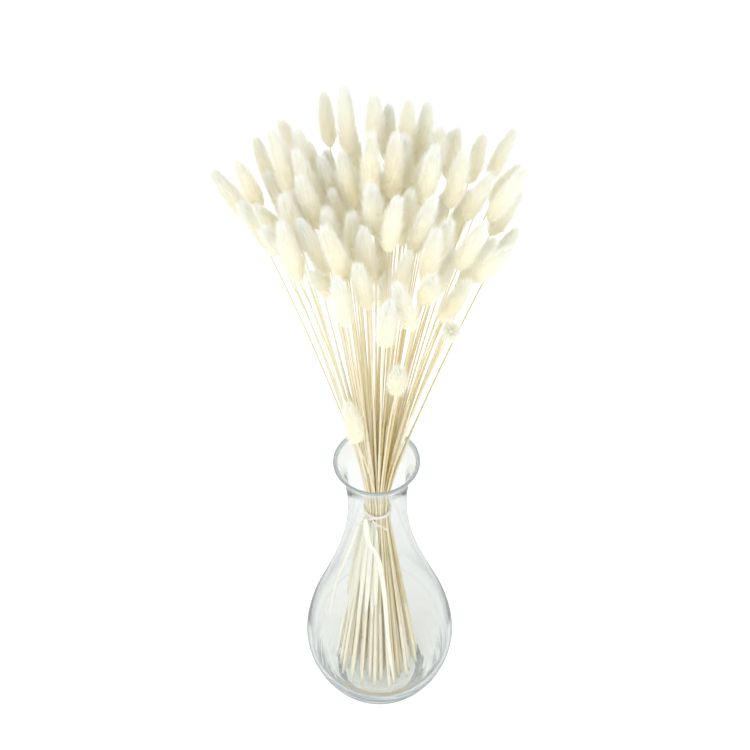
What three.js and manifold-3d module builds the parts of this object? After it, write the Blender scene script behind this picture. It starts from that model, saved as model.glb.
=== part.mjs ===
// A bunch of dried bunny tail grass, tied round the middle and standing in a clear glass vase.
// Millimetres, +Z up, and the side the bunch is seen from is -Y.
// The origin is the centre of the flat underside of the vase.
import * as THREE from 'three';
import { mergeVertices } from 'three/addons/utils/BufferGeometryUtils.js';
import Module from 'manifold-3d';

const wasm = await Module();
wasm.setup();

// Vase
const VASE_HEIGHT = 280;
const VASE_LIP = 1.1;
const FLOOR_THICKNESS = 12;
const FLOOR_FLAT_RADIUS = 27;
const VASE_SEGMENTS = 36;

// Bunch
const TAIL_COUNT = 80;
const PAIR_COUNT = 22;
const PAIR_SITES = 60;
const GOLDEN_ANGLE = 137.508;
const SEED = 75;
const TIE_HEIGHT = 228;
const TIE_RADIUS = 8.05;
const FAN_TO_SIDES = 0.262;
const FAN_IN_DEPTH = 0.212;
const FAN_TO_FRONT = -0.082;
const WAIST = 0.0333;
const REACH = 302;
const FOOT_CLEARANCE = 0.55;

// Stems, heads and leaves
const STEM_RADIUS = 0.7;
const HEAD_RADIUS = 5.3;
const HEAD_CORE = 3.4;
const HEAD_BELLY = 0.8;
const HEAD_ROUNDNESS = 0.5;
const TUFT_SIDES = 6;
const TUFT_RINGS = 7;
const TUFT_RISE = 5;
const LEAF_WIDTH = 3.4;
const LEAF_THICKNESS = 0.7;

// Distances that the middle lines of heads and stems keep
const HEAD_TO_HEAD = 11.8;
const HEAD_TO_STEM = 6.8;
const STEM_TO_STEM = 1.6;
const STEM_TO_STEM_HIGH = 2;
const FAR_APART = 60;

// Distance between the middles of two heads as seen from the front, at this angle from above.
// It is this many times as large where one head stands over the other.
const SEEN_APART = 10;
const SEEN_ABOVE = 48;
const SEEN_TALLNESS = 1.9;

// How readily a head moves aside: one that stands out of the outline, and any other
const EASE_OF_OUTLINE = 0.06;
const EASE_OF_OTHERS = 1;

// Tie
const STRING_RADIUS = 0.8;
const STRING_GAP = 0.45;

const rad = THREE.MathUtils.degToRad;
const vec = (x, y, z) => new THREE.Vector3(x, y, z);

// Heads that stand out of the outline: bearing from +X, lean of the stem, reach from the tie to the
// head, lean of the head, turn of the head from the bearing of its stem, and length of the head.
const OUTLINE_HEADS = [
  [176, 14.5, 275, 34, -14, 43],
  [-172, 12, 296, 18, 0, 38],
  [172, 10.6, 290, 14, 0, 42],
  [-152, 10.4, 282, 27, 0, 38],
  [-132, 11.6, 280, 32, -40, 40],
  [-113, 11.8, 268, 30, -30, 36],
  [178, 6.6, 302, 12, 0, 38],
  [123, 8.5, 297, 8, 0, 38],
  [128, 4.4, 304, 20, -30, 44],
  [84, 3, 306, 8, 0, 42],
  [33, 3.9, 306, 6, 0, 42],
  [70, 5, 296, 8, 0, 38],
  [10, 6.6, 300, 6, 0, 36],
  [24, 9.6, 288, 8, 0, 38],
  [20, 12, 286, 14, 0, 36],
  [22, 15, 286, 24, 0, 38],
  [8, 14.2, 282, 28, -10, 34],
  [-12, 14, 278, 24, 0, 40],
  [-19, 11, 290, 20, 0, 40],
  [-38, 14.9, 274, 33, 10, 40],
  [-52, 14.7, 246, 24, 30, 42],
  [-43, 13, 280, 20, 30, 40],
  [-52, 10.8, 280, 16, 20, 38],
  [-75, 16.6, 266, 14.5, -107, 38],
  [-94, 13.6, 270, 10, -60, 38],
  [-102, 15.4, 268, 7, -78, 38],
  [-67, 14.6, 276, 22, 0, 34],
  [-79, 18.2, 200, 16, 0, 34],
  [-108, 19, 124, 7, -90, 38],
  [-57, 17.6, 258, 44, -38, 30],
];

// Dry leaf blades: the tail that each grows on, its height, its length and how far it bends out.
const LEAVES = [
  { tail: 0, height: 294, length: 58, flare: 2 },
  { tail: 4, height: 284, length: 40, flare: 4 },
  { tail: 17, height: 322, length: 20, flare: 4 },
];

// Seeded draws

function seededDraw(seed) {
  let state = seed;
  return (low, high) => {
    state = (state * 48271) % 2147483647;
    return low + ((high - low) * state) / 2147483647;
  };
}

// Solids

function toSolid(geometry) {
  geometry.deleteAttribute('normal');
  geometry.deleteAttribute('uv');
  const merged = mergeVertices(geometry);
  const mesh = new wasm.Mesh({
    numProp: 3,
    vertProperties: Float32Array.from(merged.attributes.position.array),
    triVerts: Uint32Array.from(merged.index.array),
  });
  return new wasm.Manifold(mesh);
}

function toGeometry(solid) {
  const mesh = solid.getMesh();
  const geometry = new THREE.BufferGeometry();
  geometry.setAttribute('position', new THREE.BufferAttribute(mesh.vertProperties, 3));
  geometry.setIndex(new THREE.BufferAttribute(mesh.triVerts, 1));
  geometry.computeVertexNormals();
  return geometry;
}

function fuse(geometries) {
  const solids = geometries.map(toSolid);
  return toGeometry(solids.reduce((whole, next) => whole.add(next)));
}

function namedMesh(name, geometry, colour, roughness) {
  const material = new THREE.MeshStandardMaterial({ color: colour, roughness, metalness: 0 });
  const mesh = new THREE.Mesh(geometry, material);
  mesh.name = name;
  return mesh;
}

// Vase: a thick floor, a round belly, a narrow neck and a flared lip

function vaseOuter() {
  const outline = [
    [33, 1.6],
    [33.6, 6],
    [37, 12.5],
    [46.2, 24],
    [54.2, 42],
    [58.3, 66],
    [53.8, 95],
    [42.4, 130],
    [31.5, 165],
    [23.9, 200],
    [21.2, 231],
    [22.6, 257],
    [26.8, 272.5],
    [30.2, VASE_HEIGHT - 0.8],
  ];
  return new THREE.SplineCurve(outline.map(([r, z]) => new THREE.Vector2(r, z)));
}

function vaseInner() {
  const outline = [
    [FLOOR_FLAT_RADIUS, FLOOR_THICKNESS],
    [37, 17.5],
    [45.5, 29],
    [51.9, 45],
    [55.5, 66],
    [51.1, 95],
    [39.8, 130],
    [28.9, 165],
    [21.3, 200],
    [18.5, 231],
    [20, 257],
    [24.6, 272.5],
    [30.2 - 2 * VASE_LIP, VASE_HEIGHT - 0.5],
  ];
  return new THREE.SplineCurve(outline.map(([r, z]) => new THREE.Vector2(r, z)));
}

function floorHeight(radius) {
  const steps = 60;
  const inner = vaseInner();
  for (let i = 1; i <= steps; i += 1) {
    const point = inner.getPoint((i / steps) * 0.4);
    if (point.x > radius) {
      return radius < FLOOR_FLAT_RADIUS ? FLOOR_THICKNESS : point.y;
    }
  }
  return FLOOR_THICKNESS;
}

function makeVase() {
  const profile = [
    new THREE.Vector2(0, 0),
    new THREE.Vector2(31.4, 0),
    ...vaseOuter().getPoints(15),
    new THREE.Vector2(30.2 - VASE_LIP, VASE_HEIGHT),
    ...vaseInner().getPoints(12).reverse(),
    new THREE.Vector2(0, FLOOR_THICKNESS),
  ];
  const geometry = new THREE.LatheGeometry(profile, VASE_SEGMENTS);
  geometry.rotateX(Math.PI / 2);
  return namedMesh('vase', toGeometry(toSolid(geometry)), 0xdfe8e6, 0.06);
}

// Placing: each tail has a site in a golden angle spiral at the tie, and fans out from it

function site(index) {
  const spread = Math.sqrt((index + 0.5) / TAIL_COUNT);
  const angle = rad(GOLDEN_ANGLE * index);
  return new THREE.Vector2(spread * Math.cos(angle), spread * Math.sin(angle));
}

function fanSlope(place) {
  const bearing = THREE.MathUtils.radToDeg(Math.atan2(place.y, place.x));
  const leftFront = 1 - 0.42 * Math.exp(-(((bearing + 152) / 38) ** 2));
  return new THREE.Vector2(
    place.x * FAN_TO_SIDES * leftFront,
    place.y * FAN_IN_DEPTH * leftFront + FAN_TO_FRONT,
  );
}

function leaning(lean, bearing) {
  const across = Math.sin(rad(lean));
  return vec(across * Math.cos(rad(bearing)), across * Math.sin(rad(bearing)), Math.cos(rad(lean)));
}

function waist(distance) {
  return Math.sqrt(1 + (WAIST * distance) ** 2) - 1;
}

function pointAbove(tail, z) {
  const rise = tail.base.z - TIE_HEIGHT;
  const share = (z - TIE_HEIGHT) / rise;
  const out = ((1 - tail.bend) * waist(z - TIE_HEIGHT)) / waist(rise) + tail.bend * share ** 3;
  return vec(
    tail.tie.x + (tail.base.x - tail.tie.x) * out,
    tail.tie.y + (tail.base.y - tail.tie.y) * out,
    z,
  );
}

function pointBelow(tail, z) {
  const drop = TIE_HEIGHT - tail.foot.z;
  const share = (TIE_HEIGHT - z) / drop;
  const out = (0.8 * waist(0.6 * (TIE_HEIGHT - z))) / waist(0.6 * drop) + 0.2 * share ** 2;
  return vec(
    tail.tie.x + (tail.foot.x - tail.tie.x) * out,
    tail.tie.y + (tail.foot.y - tail.tie.y) * out,
    z,
  );
}

function risingLevels(tail) {
  const start = TIE_HEIGHT + 64;
  const rest = tail.base.z - start;
  const near = [TIE_HEIGHT, TIE_HEIGHT + 14, TIE_HEIGHT + 34, start];
  return [...near, ...[0.4, 0.75, 1].map((share) => start + rest * share)];
}

function startTail(index) {
  const place = site(index);
  return { index, place, tie: vec(place.x * TIE_RADIUS, place.y * TIE_RADIUS, TIE_HEIGHT) };
}

function outlineTail(index, [bearing, lean, reach, headLean, turn, headLength]) {
  const tail = startTail(index);
  tail.base = leaning(lean, bearing).multiplyScalar(reach).add(vec(0, 0, TIE_HEIGHT));
  tail.bend = 0.14;
  tail.axis = leaning(headLean, bearing + turn);
  tail.length = headLength;
  tail.ease = EASE_OF_OUTLINE;
  return tail;
}

function drawnTail(index, draw) {
  const jitter = 0.022;
  const leanBack = 0.1;
  const tail = startTail(index);
  const spread = tail.place.length();
  const slope = fanSlope(tail.place);
  slope.x += draw(-jitter, jitter);
  slope.y += draw(-jitter, jitter);
  const shorter = (84 - 52 * spread ** 2) * draw(0, 1) ** 1.4;
  const reach = REACH - shorter - 6 * spread ** 2 - 14 * Math.max(0, -tail.place.y);
  const rise = vec(slope.x, slope.y, 1).normalize();
  tail.base = rise.clone().multiplyScalar(reach).add(vec(0, 0, TIE_HEIGHT));
  tail.bend = draw(0.04, 0.24);
  const end = tail.base.clone().sub(pointAbove(tail, tail.base.z - 4)).normalize();
  const nod = draw(0, 0.16) + 0.1 * spread;
  const outward = Math.hypot(rise.x, rise.y);
  tail.axis = vec(
    end.x + (nod * rise.x) / outward + draw(-0.09, 0.09),
    0.7 * end.y + (0.3 * nod * rise.y) / outward + leanBack + draw(-0.08, 0.08),
    end.z,
  ).normalize();
  tail.length = draw(40, 52);
  tail.ease = EASE_OF_OTHERS;
  return tail;
}

function nearestSite(free, slope) {
  const far = (index) => fanSlope(site(index)).distanceToSquared(slope);
  return free.reduce((best, index) => (far(index) < far(best) ? index : best));
}

function placeOutline(free) {
  const outermostFirst = [...OUTLINE_HEADS].sort((a, b) => b[1] - a[1]);
  const tails = outermostFirst.map((head) => {
    const way = leaning(head[1], head[0]);
    const index = nearestSite(free, new THREE.Vector2(way.x / way.z, way.y / way.z));
    free.splice(free.indexOf(index), 1);
    return outlineTail(index, head);
  });
  return tails.sort((a, b) => a.index - b.index);
}

// Settling: heads and stems that come too close move each other aside, a little in each round

// From the line c-d to the line a-b, where they come closest
function closestGap(a, b, c, d) {
  const first = b.clone().sub(a);
  const second = d.clone().sub(c);
  const between = a.clone().sub(c);
  const aa = first.dot(first);
  const bb = second.dot(second);
  const ab = first.dot(second);
  const af = first.dot(between);
  const bf = second.dot(between);
  const cross = aa * bb - ab * ab;
  const clamp = (value) => Math.min(1, Math.max(0, value));
  let onFirst = cross > 1e-9 ? clamp((ab * bf - af * bb) / cross) : 0;
  let onSecond = (ab * onFirst + bf) / bb;
  if (onSecond < 0) {
    onSecond = 0;
    onFirst = clamp(-af / aa);
  } else if (onSecond > 1) {
    onSecond = 1;
    onFirst = clamp((ab - af) / aa);
  }
  return between.addScaledVector(first, onFirst).addScaledVector(second, -onSecond);
}

function push(one, two, gap, wanted) {
  const across = Math.hypot(gap.x, gap.y);
  const lack = wanted - gap.length();
  if (lack <= 0 || across < 1e-6) {
    return;
  }
  const aside = new THREE.Vector2(gap.x, gap.y).multiplyScalar(lack / across);
  const share = one.ease / (one.ease + two.ease);
  one.move.addScaledVector(aside, share);
  two.move.addScaledVector(aside, share - 1);
}

function pushHeadFromStem(headed, stemmed) {
  for (let i = 1; i < stemmed.rising.length; i += 1) {
    const from = stemmed.rising[i - 1];
    const to = stemmed.rising[i];
    if (to.z >= headed.base.z - 30 && from.z <= headed.tip.z + 30) {
      push(headed, stemmed, closestGap(headed.base, headed.tip, from, to), HEAD_TO_STEM);
    }
  }
}

function pushStems(tail, other) {
  const top = Math.min(tail.base.z, other.base.z);
  const levels = [[14, STEM_TO_STEM], [34, STEM_TO_STEM], [64, STEM_TO_STEM]];
  levels.push(...[110, 160, 210, 255].map((rise) => [rise, STEM_TO_STEM_HIGH]));
  for (const [rise, wanted] of levels) {
    const z = TIE_HEIGHT + rise;
    if (z <= top) {
      push(tail, other, pointAbove(tail, z).sub(pointAbove(other, z)), wanted);
    }
  }
}

function settleTail(tail) {
  tail.tip = tail.base.clone().addScaledVector(tail.axis, tail.length);
  tail.rising = risingLevels(tail).map((z) => pointAbove(tail, z));
  tail.move = new THREE.Vector2();
}

function pushApart(tail, other) {
  if (Math.hypot(tail.base.x - other.base.x, tail.base.y - other.base.y) <= FAR_APART) {
    push(tail, other, closestGap(tail.base, tail.tip, other.base, other.tip), HEAD_TO_HEAD);
    pushHeadFromStem(tail, other);
    pushHeadFromStem(other, tail);
    pushStems(tail, other);
  }
}

// Moves a head aside that is in line with another one as seen from the front and above
function spreadSeen(tail, other) {
  const part = 0.3;
  const outwardHeld = 0.5;
  const middle = (one) => one.base.clone().addScaledVector(one.axis, one.length / 2);
  const apart = middle(tail).sub(middle(other));
  const down = Math.sin(rad(SEEN_ABOVE));
  const upward = (apart.y * down + apart.z * Math.cos(rad(SEEN_ABOVE))) / SEEN_TALLNESS;
  const distance = Math.hypot(apart.x, upward) + 1e-6;
  const lack = Math.max(0, SEEN_APART - distance) * part;
  const aside = new THREE.Vector2(apart.x, upward / down).multiplyScalar(lack / distance);
  const free = [tail, other].filter((one) => one.ease === EASE_OF_OTHERS);
  for (const one of free) {
    const move = aside.clone().multiplyScalar((one === tail ? 1 : -1) / free.length);
    const outward = new THREE.Vector2(one.base.x, one.base.y).normalize();
    one.move.add(move).addScaledVector(outward, -outwardHeld * Math.max(0, move.dot(outward)));
  }
}

function settleAll(tails) {
  const rounds = 80;
  const spreadRounds = 60;
  const longestMove = 2;
  const part = 0.6;
  tails.forEach(settleTail);
  for (let round = 0; round < rounds; round += 1) {
    tails.forEach((tail, i) => tails.slice(0, i).forEach((other) => pushApart(tail, other)));
    if (round < spreadRounds) {
      tails.forEach((tail, i) => tails.slice(0, i).forEach((other) => spreadSeen(tail, other)));
    }
    for (const tail of tails) {
      tail.move.clampLength(0, longestMove);
      tail.base.x += part * tail.move.x;
      tail.base.y += part * tail.move.y;
      settleTail(tail);
    }
  }
}

function placeTails() {
  const draw = seededDraw(SEED);
  for (let i = 0; i < 5; i += 1) {
    draw(0, 1);
  }
  const free = Array.from({ length: TAIL_COUNT }, (_, index) => index);
  const tails = placeOutline(free);
  tails.push(...free.map((index) => drawnTail(index, draw)));
  settleAll(tails);
  tails.sort((a, b) => a.index - b.index);
  tails.forEach((tail) => setFoot(tail, draw));
  return tails;
}

function setFoot(tail, draw) {
  const x = tail.place.x * 36 - 3 + draw(-0.8, 0.8);
  const y = tail.place.y * 29 + 2 + draw(-0.8, 0.8);
  const lift = floorHeight(Math.hypot(x, y) + STEM_RADIUS) + FOOT_CLEARANCE + 3 * draw(0, 1) ** 2;
  tail.foot = vec(x, y, lift);
}

// Pairs: the closest neighbours among the inner sites are pressed together at the tie

function closestPairs(tails) {
  const options = [];
  for (let a = 0; a < PAIR_SITES; a += 1) {
    for (let b = 0; b < a; b += 1) {
      options.push([b, a, tails[a].tie.distanceTo(tails[b].tie)]);
    }
  }
  options.sort((one, two) => one[2] - two[2]);
  const taken = new Set();
  const pairs = [];
  for (const [a, b] of options) {
    if (pairs.length < PAIR_COUNT && !taken.has(a) && !taken.has(b)) {
      taken.add(a).add(b);
      pairs.push([tails[a], tails[b]]);
    }
  }
  return pairs;
}

function pressTogether(one, two) {
  const pressedGap = 0.5;
  const apart = two.tie.clone().sub(one.tie);
  const shift = apart.clone().setLength((apart.length() - pressedGap) / 2);
  one.press = shift;
  two.press = shift.clone().negate();
}

// Stem: a thin tube from the foot through the tie to the head

class LevelPath extends THREE.Curve {
  constructor(points) {
    super();
    this.points = points;
  }

  getPoint(t, target = new THREE.Vector3()) {
    const last = this.points.length - 1;
    const along = THREE.MathUtils.clamp(t, 0, 1) * last;
    const step = Math.min(Math.floor(along), last - 1);
    return target.lerpVectors(this.points[step], this.points[step + 1], along - step);
  }

  getUtoTmapping(u) {
    return u;
  }
}

function stemPoints(tail) {
  const headRoot = 4;
  const low = [tail.foot.z, 110, 160, 194, 214].map((z) => pointBelow(tail, z));
  const points = [...low, ...tail.rising];
  if (tail.press) {
    points[low.length].add(tail.press);
  }
  points.push(tail.base.clone().addScaledVector(tail.axis, headRoot));
  return points;
}

function roundTube(path, steps, radius, sides) {
  const section = new THREE.Shape();
  for (let side = 0; side < sides; side += 1) {
    const angle = (2 * Math.PI * side) / sides;
    const corner = [radius * Math.cos(angle), radius * Math.sin(angle)];
    if (side === 0) {
      section.moveTo(...corner);
    } else {
      section.lineTo(...corner);
    }
  }
  section.closePath();
  return new THREE.ExtrudeGeometry(section, { steps, extrudePath: path, bevelEnabled: false });
}

function makeStem(tail) {
  const points = stemPoints(tail);
  return roundTube(new LevelPath(points), points.length - 1, STEM_RADIUS, 3);
}

// Head: an egg-shaped core whose surface rises in pointed tufts that lean to the tip

function headFullness(share) {
  return Math.sin(Math.PI * share ** HEAD_BELLY) ** HEAD_ROUNDNESS;
}

function headGeometry(length) {
  const positions = [0, 0, 0];
  for (let ring = 0; ring < TUFT_RINGS; ring += 1) {
    const share = (ring + 1) / (TUFT_RINGS + 1);
    for (let side = 0; side < TUFT_SIDES; side += 1) {
      const raised = (ring + side) % 2 === 0;
      const radius = (raised ? HEAD_RADIUS : HEAD_CORE) * headFullness(share);
      const z = (length - TUFT_RISE) * share + (raised ? TUFT_RISE : 0);
      const angle = (2 * Math.PI * side) / TUFT_SIDES;
      positions.push(radius * Math.cos(angle), radius * Math.sin(angle), z);
    }
  }
  positions.push(0, 0, length);
  const geometry = new THREE.BufferGeometry();
  geometry.setAttribute('position', new THREE.Float32BufferAttribute(positions, 3));
  geometry.setIndex(headFaces());
  return geometry;
}

function headFaces() {
  const corner = (ring, side) => 1 + ring * TUFT_SIDES + (side % TUFT_SIDES);
  const tip = 1 + TUFT_RINGS * TUFT_SIDES;
  const faces = [];
  for (let side = 0; side < TUFT_SIDES; side += 1) {
    faces.push(0, corner(0, side + 1), corner(0, side));
    faces.push(tip, corner(TUFT_RINGS - 1, side), corner(TUFT_RINGS - 1, side + 1));
    for (let ring = 1; ring < TUFT_RINGS; ring += 1) {
      const a = corner(ring - 1, side);
      const b = corner(ring - 1, side + 1);
      const c = corner(ring, side + 1);
      const d = corner(ring, side);
      const lowerLeftRaised = (ring - 1 + side) % 2 === 0;
      faces.push(...(lowerLeftRaised ? [a, b, d, b, c, d] : [a, b, c, a, c, d]));
    }
  }
  return faces;
}

function makeHead(tail) {
  const geometry = headGeometry(tail.length);
  geometry.rotateZ(rad(47 * tail.index));
  const turn = new THREE.Quaternion().setFromUnitVectors(vec(0, 0, 1), tail.axis);
  geometry.applyQuaternion(turn);
  geometry.translate(tail.base.x, tail.base.y, tail.base.z);
  return geometry;
}

// Leaf: a thin dry blade that leaves the stem on its outer side

function makeLeaf(tail, leaf) {
  const segments = 4;
  const geometry = new THREE.BoxGeometry(LEAF_WIDTH, LEAF_THICKNESS, leaf.length, 1, 1, segments);
  const root = pointAbove(tail, leaf.height);
  const up = pointAbove(tail, leaf.height + leaf.length).sub(root).normalize();
  const side = vec(root.y, -root.x, 0).normalize();
  const out = up.clone().cross(side);
  const place = geometry.attributes.position;
  for (let i = 0; i < place.count; i += 1) {
    const share = place.getZ(i) / leaf.length + 0.5;
    const taper = Math.min(1, 0.4 + 3 * share) * (1 - 0.75 * share ** 2);
    const bend = STEM_RADIUS * 0.5 + 2.4 * share + leaf.flare * share ** 2;
    const point = root.clone()
      .addScaledVector(side, place.getX(i) * taper)
      .addScaledVector(out, place.getY(i) + bend)
      .addScaledVector(up, share * leaf.length);
    place.setXYZ(i, point.x, point.y, point.z);
  }
  return geometry;
}

function tailSolids(tail) {
  const leaves = LEAVES.filter((leaf) => leaf.tail === tail.index);
  return [makeStem(tail), makeHead(tail), ...leaves.map((leaf) => makeLeaf(tail, leaf))];
}

function makeTails() {
  const tails = placeTails();
  const pairs = closestPairs(tails);
  pairs.forEach(([one, two]) => pressTogether(one, two));
  const paired = new Set(pairs.flat());
  const number = (tail) => String(tail.index + 1).padStart(2, '0');
  const meshes = pairs.map(([one, two]) => {
    const solids = [...tailSolids(one), ...tailSolids(two)];
    return namedMesh(`tails_${number(one)}_${number(two)}`, fuse(solids), 0xf2ead6, 0.9);
  });
  for (const tail of tails.filter((single) => !paired.has(single))) {
    meshes.push(namedMesh(`tail_${number(tail)}`, fuse(tailSolids(tail)), 0xf2ead6, 0.9));
  }
  return meshes;
}

// Tie: two turns of string, a knot at the front and its two loose ends

function makeTie() {
  const turnRadius = TIE_RADIUS + STEM_RADIUS + STRING_GAP + STRING_RADIUS;
  const knotBearing = rad(-117);
  const knotPlace = vec(Math.cos(knotBearing), Math.sin(knotBearing), 0)
    .multiplyScalar(turnRadius + 0.6);
  knotPlace.z = TIE_HEIGHT;
  const turns = [-0.65, 0.65].map((height) => {
    const turn = new THREE.TorusGeometry(turnRadius, STRING_RADIUS, 5, 18);
    return turn.translate(0, 0, TIE_HEIGHT + height);
  });
  const knot = new THREE.SphereGeometry(1.9, 7, 5);
  knot.translate(knotPlace.x, knotPlace.y, knotPlace.z);
  const looseEnds = [
    [knotPlace, vec(-1.5, -12.2, 224), vec(3, -12.4, 220.5), vec(6.6, -11.6, 215)],
    [knotPlace, vec(-8.6, -11.6, 225.5), vec(-11.8, -9.8, 222), vec(-13.6, -8.6, 218)],
  ];
  const ends = looseEnds.map((points) => {
    const curve = new THREE.CatmullRomCurve3(points);
    return roundTube(curve, 5, STRING_RADIUS * 0.8, 4);
  });
  return namedMesh('tie', fuse([...turns, knot, ...ends]), 0xf4efe2, 0.95);
}

const bunch = new THREE.Group();
bunch.add(makeVase(), makeTie(), ...makeTails());

export default bunch;
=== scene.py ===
import math

import bpy
import numpy as np
from mathutils import Matrix, Vector


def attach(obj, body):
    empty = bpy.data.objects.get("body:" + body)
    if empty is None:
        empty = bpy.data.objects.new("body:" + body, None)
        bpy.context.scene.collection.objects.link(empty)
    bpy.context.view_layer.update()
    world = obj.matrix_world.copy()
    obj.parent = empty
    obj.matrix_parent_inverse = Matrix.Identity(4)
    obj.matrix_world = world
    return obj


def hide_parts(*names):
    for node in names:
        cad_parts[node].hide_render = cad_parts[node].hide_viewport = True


# A bunch of dried bunny tail grass, tied and standing in a clear glass vase.
# Lengths here are in millimetres, as in the part's source, and become metres in the meshes.
MM = 0.001

# Vase. Its outlines are points of radius and height.
VASE_HEIGHT = 280
VASE_LIP = 1.1
RIM_RADIUS = 30.2
FLOOR_THICKNESS = 12
FLOOR_FLAT_RADIUS = 27
FLOOR_DIP = 0.15
VASE_FOOT = [(29, 0), (31.4, 0), (32.3, 0.35), (32.8, 0.9)]
VASE_OUTLINE = [
    (33, 1.6), (33.6, 6), (37, 12.5), (46.2, 24), (54.2, 42), (58.3, 66), (53.8, 95),
    (42.4, 130), (31.5, 165), (23.9, 200), (21.2, 231), (22.6, 257), (26.8, 272.5),
    (RIM_RADIUS, VASE_HEIGHT - 0.8),
]
VASE_HOLLOW = [
    (FLOOR_FLAT_RADIUS, FLOOR_THICKNESS), (37, 17.5), (45.5, 29), (51.9, 45), (55.5, 66),
    (51.1, 95), (39.8, 130), (28.9, 165), (21.3, 200), (18.5, 231), (20, 257), (24.6, 272.5),
    (RIM_RADIUS - 2 * VASE_LIP, VASE_HEIGHT - 0.5),
]
VASE_SIDES = 144
VASE_STEPS = 60

# Bunch: the placing rule of the source, with the same draws
TAIL_COUNT = 80
PAIR_COUNT = 22
PAIR_SITES = 60
GOLDEN_ANGLE = 137.508
SEED = 75
TIE_HEIGHT = 228
TIE_RADIUS = 8.05
FAN_TO_SIDES = 0.262
FAN_IN_DEPTH = 0.212
FAN_TO_FRONT = -0.082
WAIST = 0.0333
REACH = 302
STEM_RADIUS = 0.7

# Feet of the stems on the vase's floor
FEET_TO_SIDES = 36
FEET_IN_DEPTH = 29
FEET_MIDDLE = (-3, 2)
FEET_JITTER = 0.8
FEET_LIFT = 3
FOOT_CLEARANCE = 0.55

# Distances that the middle lines of heads and stems keep
HEAD_TO_HEAD = 11.8
HEAD_TO_STEM = 6.8
STEM_TO_STEM = 1.6
STEM_TO_STEM_HIGH = 2
FAR_APART = 60
BESIDE_HEAD = 30

# Heights above the tie where the stems are compared
RISES_NEAR_TIE = (14, 34, 64)
RISES_HIGH = (110, 160, 210, 255)

# Distance between the middles of two heads as seen from the front, at this angle from above.
# It is this many times as large where one head stands over the other.
SEEN_APART = 10
SEEN_ABOVE = 48
SEEN_TALLNESS = 1.9

# How readily a head moves aside: one that stands out of the outline, and any other
EASE_OF_OUTLINE = 0.06
EASE_OF_OTHERS = 1.0

# Heads that stand out of the outline: bearing from +X, lean of the stem, reach from the tie to the
# head, lean of the head, turn of the head from the bearing of its stem, and length of the head
OUTLINE_HEADS = [
    (176, 14.5, 275, 34, -14, 43), (-172, 12, 296, 18, 0, 38), (172, 10.6, 290, 14, 0, 42),
    (-152, 10.4, 282, 27, 0, 38), (-132, 11.6, 280, 32, -40, 40), (-113, 11.8, 268, 30, -30, 36),
    (178, 6.6, 302, 12, 0, 38), (123, 8.5, 297, 8, 0, 38), (128, 4.4, 304, 20, -30, 44),
    (84, 3, 306, 8, 0, 42), (33, 3.9, 306, 6, 0, 42), (70, 5, 296, 8, 0, 38),
    (10, 6.6, 300, 6, 0, 36), (24, 9.6, 288, 8, 0, 38), (20, 12, 286, 14, 0, 36),
    (22, 15, 286, 24, 0, 38), (8, 14.2, 282, 28, -10, 34), (-12, 14, 278, 24, 0, 40),
    (-19, 11, 290, 20, 0, 40), (-38, 14.9, 274, 33, 10, 40), (-52, 14.7, 246, 24, 30, 42),
    (-43, 13, 280, 20, 30, 40), (-52, 10.8, 280, 16, 20, 38), (-75, 16.6, 266, 14.5, -107, 38),
    (-94, 13.6, 270, 10, -60, 38), (-102, 15.4, 268, 7, -78, 38), (-67, 14.6, 276, 22, 0, 34),
    (-79, 18.2, 200, 16, 0, 34), (-108, 19, 124, 7, -90, 38), (-57, 17.6, 258, 44, -38, 30),
]

# Dry leaf blades: the tail that each grows on, its height, its length and how far it bends out
LEAVES = [(0, 294, 58, 2), (4, 284, 40, 4), (17, 322, 20, 4)]
LEAF_WIDTH = 3.4
LEAF_FLATNESS = 0.16

# Stems: how much straighter than in the CAD they leave the tie downwards, and how they swell and taper
STRAIGHTNESS = 2.2
STEM_AT_TIE = 0.72
STEM_SWELL = 0.5
STEM_TAPER = 0.24

# Heads. The core carries the hairs, and HAIRS is their number on a head of the usual length.
HEAD_RADIUS = 6.2
HEAD_CORE = 3.7
CORE_SHARE = 0.9
USUAL_HEAD = 40
HAIRS = 2350
HAIR_LENGTH = 8.4
HAIR_WIDTH = 0.13

# Material slots of a tail
STRAW = 0
FLUFF = 1

# Thickness of a loose or papery sheath over its width
SHEATH_FLATNESS = 0.14

# Loose sheaths in the vase: the tail, points along it, and half its width at the top and at the end
LOOSE_SHEATHS = [
    (78, [
        (-8.2, -11.6, 230), (-7.8, -13.4, 218), (-6.4, -15.4, 205), (-0.4, -17.8, 189),
        (3.8, -21.2, 149), (6.6, -25.2, 85), (11.2, -27, 22),
    ], 2.5, 1.5),
    (72, [
        (-8.8, -5.5, 227), (-13.2, -6, 215), (-19, -6.2, 188), (-25.4, -6.6, 164),
        (-31.6, -8, 141), (-38.8, -10, 98),
    ], 1.5, 0.9),
]

# Tie. The string is wound over this height to both sides, and its loose ends start at the knot.
STRING_RADIUS = 0.8
STRING_TURNS = 3.0
STRING_SPREAD = 1.1
KNOT_BEARING = -117
LOOSE_ENDS = [
    [(-1.5, -12.2, 224), (3, -12.4, 220.5), (6.6, -11.6, 215)],
    [(-8.6, -11.6, 225.5), (-11.8, -9.8, 222), (-13.6, -8.6, 218)],
]

# Heights in metres between which the glass changes to its lip, and in the flare below it
LIP_BAND = (0.2772, 0.2784)
FLARE_BAND = (0.258, 0.272)

# Floor: half its size in metres, its glow for the camera, and the share of its light in reflections
FLOOR_HALF = 12
FLOOR_GLOW = 0.4
FLOOR_REFLECTED = 0.66

# Lights: place and width in metres, and power in watts
KEY_LIGHT = ((-1.3, -1.9, 1.7), 2.6, 28)
FILL_LIGHT = ((1.8, -1.4, 1.2), 1.6, 12)
LIGHT_TARGET = (0, 0, 0.35)
SKY_STRENGTH = 0.97

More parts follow.
